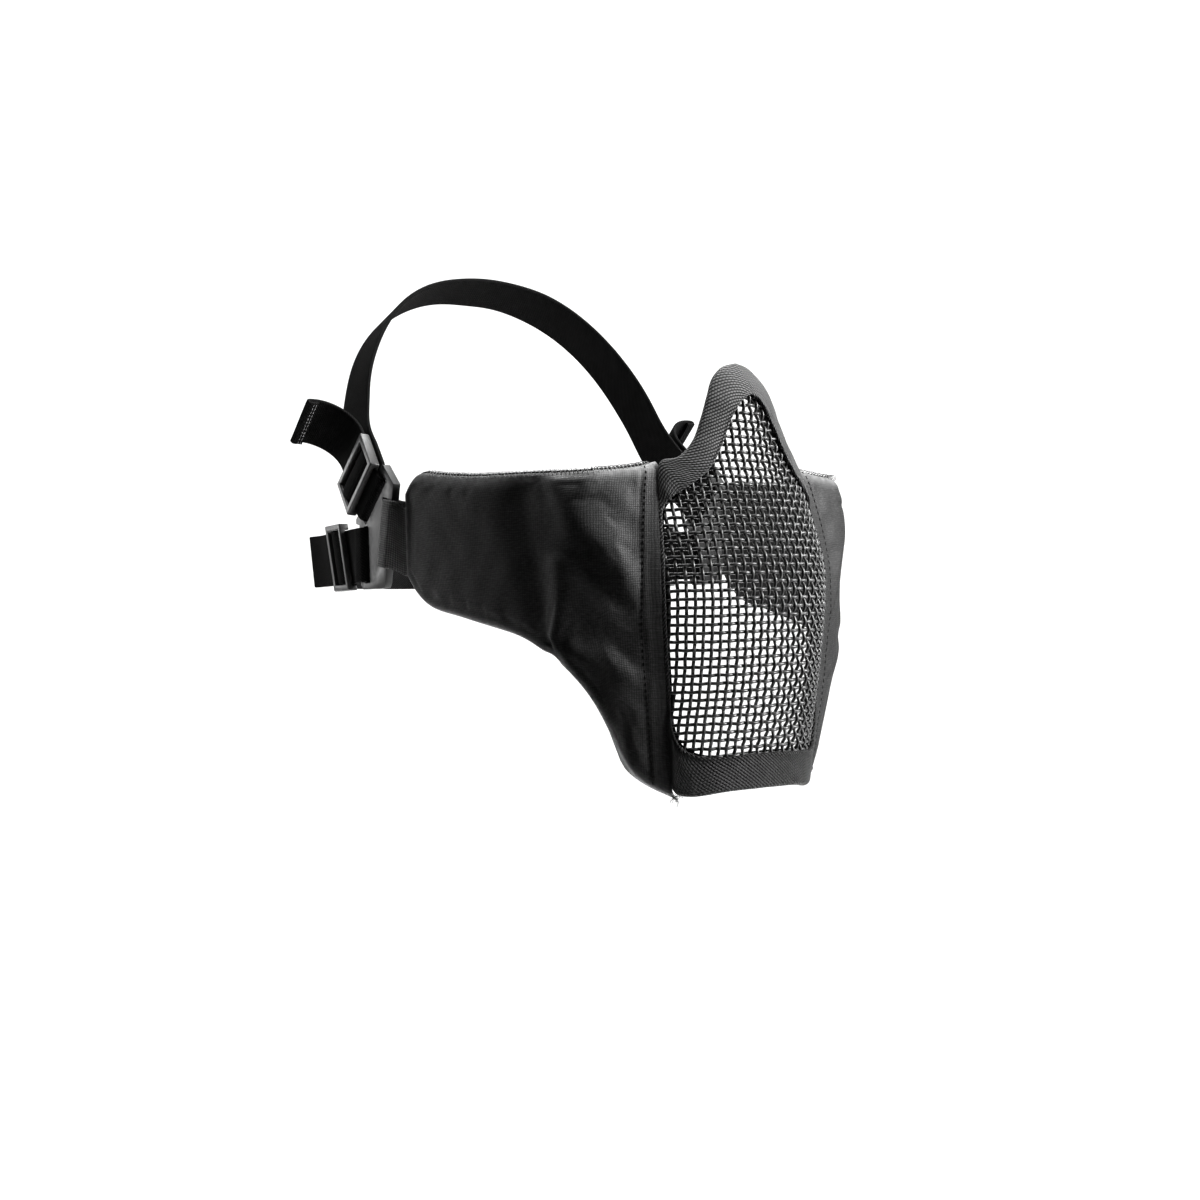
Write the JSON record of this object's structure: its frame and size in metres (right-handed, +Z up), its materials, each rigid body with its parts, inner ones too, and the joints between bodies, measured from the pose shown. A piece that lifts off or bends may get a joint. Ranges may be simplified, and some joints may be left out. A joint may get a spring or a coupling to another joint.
{
  "type": "half-face mesh mask",
  "caption": "Half-face mask with a bulged black wire-mesh front edged in twill tape, padded fabric cheek wings, and elastic straps that pass behind the head through buckles and sliders.",
  "frame": {"origin": "the inner face of the tape at the top middle of the nose arch, where the mask rests on the bridge of the wearer's nose", "axes": "+X towards the wearer's left, -Y the way the wearer faces, +Z up"},
  "size_m": [0.1844, 0.2259, 0.2006],
  "materials": {
    "wire": "black coated woven steel wire, satin",
    "tape": "dark grey twill binding tape",
    "nylon": "black coarse-woven coated nylon",
    "lining": "black brushed knit",
    "webbing": "black ribbed nylon webbing",
    "plastic": "black moulded nylon, satin",
    "elastic": "black woven elastic"
  },
  "bodies": {
    "root": {"mesh_shield": "wire", "face_binding": "tape", "cheek_pad_right": "nylon", "cheek_pad_left": "nylon", "cheek_lining_right": "lining", "cheek_lining_left": "lining", "webbing_tab_right": "webbing", "webbing_tab_left": "webbing", "three_way_buckle_right": "plastic", "three_way_buckle_left": "plastic", "upper_strap": "elastic", "upper_slider_right": "plastic", "upper_slider_left": "plastic", "lower_strap": "elastic", "lower_slider_right": "plastic", "lower_slider_left": "plastic"}
  },
  "joints": []
}
